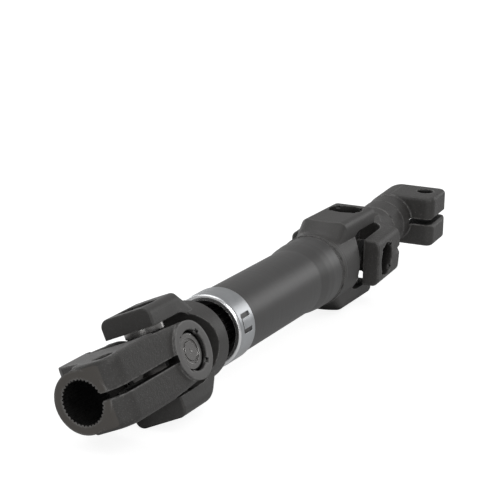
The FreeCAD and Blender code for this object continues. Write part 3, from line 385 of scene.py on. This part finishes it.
finishes = {
    "forged": forged_coat("forged_coat", 0.35, 0.8 * MILLIMETRE),
    "rough": forged_coat("rough_coat", 0.9, 1.5 * MILLIMETRE),
    "machined": near_clamp_coat(),
    "tube": tube_coat(),
    "zinc": zinc_plate(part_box("end_collar")[0].x + LIP_LENGTH),
    "cup": steel("cup_steel", 0.30, 0.02, 0.20, 0.24, relief=0.03, stained=0.88),
    "roller": steel("roller_steel", 0.60, 0.0, 0.12, 0.22, (0.2, 1.0, 1.0)),
    "cross": steel("cross_steel", 0.22, 0.03, 0.34, 0.5),
    "shaft": steel("shaft_steel", 0.34, 0.02, 0.28, 0.42, (0.1, 1.0, 1.0)),
    "rubber": rubber(),
    "bush": bush_plastic(),
}
FINISH_BY_NODE = {
    "near_clamp_yoke": "machined",
    "far_clamp_yoke": "rough",
    "shaft_yoke": "forged",
    "tube_yoke": "forged",
    "outer_tube": "tube",
    "end_collar": "zinc",
    "slide_bush": "bush",
    "inner_shaft": "shaft",
}
FINISH_BY_WORD = {"_cup_": "cup", "_rollers_": "roller", "seal": "rubber", "_cross": "cross"}


def finish_of(node):
    """Finish of a CAD node, by its name or by a word in it."""
    if node in FINISH_BY_NODE:
        return FINISH_BY_NODE[node]
    return next(finish for word, finish in FINISH_BY_WORD.items() if word in node)


def shade_smooth(piece):
    """Smooth shading across gentle edges; sharper ones stay crisp."""
    piece.data.shade_smooth()
    piece.data.set_sharp_from_angle(angle=SMOOTH_ANGLE)


for name, piece in frame["nodes"].items():
    piece.data.materials.clear()
    piece.data.materials.append(finishes[finish_of(name)])
    shade_smooth(piece)


# Far clamp yoke

def arm_back(along):
    """Height of the arm's back at a place along it: flat, then round over the bend."""
    past = min(max(0.0, along - BEND_START), BEND_RADIUS)
    return ARM_OUTER - BEND_RADIUS + math.sqrt(BEND_RADIUS ** 2 - past ** 2)


def delete_folds(shape):
    """Delete each pair of faces that lie on each other."""
    by_corners = {}
    for face in shape.faces:
        corners = frozenset(
            tuple(round(value, SAME_PLACE_DIGITS) for value in vertex.co) for vertex in face.verts
        )
        by_corners.setdefault(corners, []).append(face)
    folded = [face for faces in by_corners.values() if len(faces) > 1 for face in faces]
    bmesh.ops.delete(shape, geom=folded, context="FACES_ONLY")


def close_groove(solid):
    """Replace the far clamp yoke by a copy whose arm is whole over its back, as photographed."""
    ahead = Vector(mounts["far_splined_clamp"]["axis"])
    outward = -Vector(joints["far_tilt"]["axis"])
    across = ahead.cross(outward)
    mesh = solid.data.copy()
    piece = bpy.data.objects.new("far_clamp_yoke_whole", mesh)
    bpy.context.scene.collection.objects.link(piece)
    shape = bmesh.new()
    shape.from_mesh(mesh)

    def place(vertex):
        offset = vertex.co - far_joint
        return offset.dot(ahead), offset.dot(across), offset.dot(outward)

    def in_groove(vertex):
        along, side, height = place(vertex)
        on_wall = abs(height - GROOVE_FLOOR - abs(side)) < GROOVE_SLACK
        return GROOVE_START < along < GROOVE_END and on_wall and height < ARM_OUTER - GROOVE_SLACK

    def on_floor(vertex):
        return in_groove(vertex) and abs(place(vertex)[1]) < GROOVE_SLACK

    floor_edges = [edge for edge in shape.edges if all(on_floor(vertex) for vertex in edge.verts)]
    bmesh.ops.subdivide_edges(shape, edges=floor_edges, cuts=GROOVE_CUTS)
    for vertex in shape.verts:
        if in_groove(vertex):
            along, _, height = place(vertex)
            vertex.co += outward * max(0.0, arm_back(along) - height)
    bmesh.ops.triangulate(shape, faces=shape.faces[:])
    delete_folds(shape)
    shape.to_mesh(mesh)
    shape.free()
    shade_smooth(piece)
    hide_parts(solid.name)
    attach(piece, "far_clamp")


close_groove(frame["nodes"]["far_clamp_yoke"])


# Floor, light and camera

def add_floor():
    """Plain floor, almost white to the camera, that keeps the part's soft shadow."""
    mesh = bpy.data.meshes.new("floor")
    reach = FLOOR_REACH
    corners = [(-reach, -reach, 0), (reach, -reach, 0), (reach, reach, 0), (-reach, reach, 0)]
    mesh.from_pydata(corners, [], [(0, 1, 2, 3)])
    floor = bpy.data.objects.new("floor", mesh)
    bpy.context.scene.collection.objects.link(floor)
    graph = Graph("floor_white")
    rays = graph.add("ShaderNodeLightPath").outputs
    to_camera = graph.math("MULTIPLY", rays["Is Camera Ray"], FLOOR_TO_CAMERA)
    mirrored = graph.math("MULTIPLY", rays["Is Glossy Ray"], FLOOR_IN_REFLECTIONS)
    bounced = graph.math("MULTIPLY", rays["Is Diffuse Ray"], FLOOR_AS_LAMP)
    strength = graph.math("ADD", graph.math("ADD", to_camera, mirrored), bounced)
    glow = graph.add("ShaderNodeEmission", {"Color": WHITE, "Strength": strength})
    matt = graph.add("ShaderNodeBsdfDiffuse", {"Color": FLOOR_COLOUR})
    both = graph.add("ShaderNodeAddShader", {0: glow.outputs[0], 1: matt.outputs[0]})
    graph.feed(graph.tree.nodes["Material Output"].inputs["Surface"], both.outputs[0])
    graph.tree.nodes.remove(graph.shader)
    mesh.materials.append(graph.material)


def add_world():
    """White backdrop to the camera, softer as a lamp and in reflections."""
    world = bpy.data.worlds.new("studio")
    bpy.context.scene.world = world
    world.use_nodes = True
    tree = world.node_tree
    background = tree.nodes["Background"]
    background.inputs["Color"].default_value = WHITE
    rays = tree.nodes.new("ShaderNodeLightPath").outputs
    level = tree.nodes.new("ShaderNodeMapRange")
    level.inputs["To Min"].default_value = WORLD_AS_LAMP
    level.inputs["To Max"].default_value = WORLD_TO_CAMERA
    tree.links.new(rays["Is Camera Ray"], level.inputs["Value"])
    tree.links.new(level.outputs["Result"], background.inputs["Strength"])


def add_lamp(name, place, target, width, height, power):
    """Rectangular soft lamp that points at a target."""
    data = bpy.data.lights.new(name, "AREA")
    data.shape = "RECTANGLE"
    data.size = width
    data.size_y = height
    data.energy = power
    lamp = bpy.data.objects.new(name, data)
    lamp.location = place
    lamp.rotation_mode = "QUATERNION"
    lamp.rotation_quaternion = (target - Vector(place)).to_track_quat("-Z", "Y")
    bpy.context.scene.collection.objects.link(lamp)


def add_camera():
    """Camera at the photograph's viewing angle, with its small roll."""
    back = Vector((
        math.sin(CAMERA_AZIMUTH) * math.cos(CAMERA_ELEVATION),
        -math.cos(CAMERA_AZIMUTH) * math.cos(CAMERA_ELEVATION),
        math.sin(CAMERA_ELEVATION),
    ))
    level_right = Vector((0, 0, 1)).cross(back).normalized()
    level_up = back.cross(level_right)
    right = math.cos(CAMERA_ROLL) * level_right + math.sin(CAMERA_ROLL) * level_up
    up = back.cross(right)
    data = bpy.data.cameras.new("photo_view")
    data.sensor_width = SENSOR_WIDTH
    data.lens = FOCAL_PIXELS / FRAME_WIDTH * SENSOR_WIDTH
    data.clip_start = CLIP_START
    data.clip_end = CLIP_END
    camera = bpy.data.objects.new("photo_view", data)
    turn = Matrix((right, up, back)).transposed().to_4x4()
    camera.matrix_world = Matrix.Translation(near_joint + CAMERA_FROM_NEAR_JOINT) @ turn
    bpy.context.scene.collection.objects.link(camera)
    bpy.context.scene.camera = camera


add_floor()
add_world()
middle = (near_joint + far_joint) / 2
add_lamp("key", (-0.9, -1.3, 1.5), middle, width=1.4, height=1.0, power=12.5)
add_lamp("top", (0.2, 0.4, 1.8), middle, width=2.0, height=1.4, power=11.5)
add_lamp("band", (1.5, -0.6, 0.42), middle, width=0.7, height=0.5, power=1.8)
add_lamp("rim", (0.9, 1.5, 0.7), middle, width=1.2, height=0.8, power=6.0)
add_lamp("front", (-1.6, -0.35, 0.35), near_joint, width=0.8, height=0.6, power=3.5)
add_camera()
bpy.context.scene.view_settings.view_transform = "Standard"
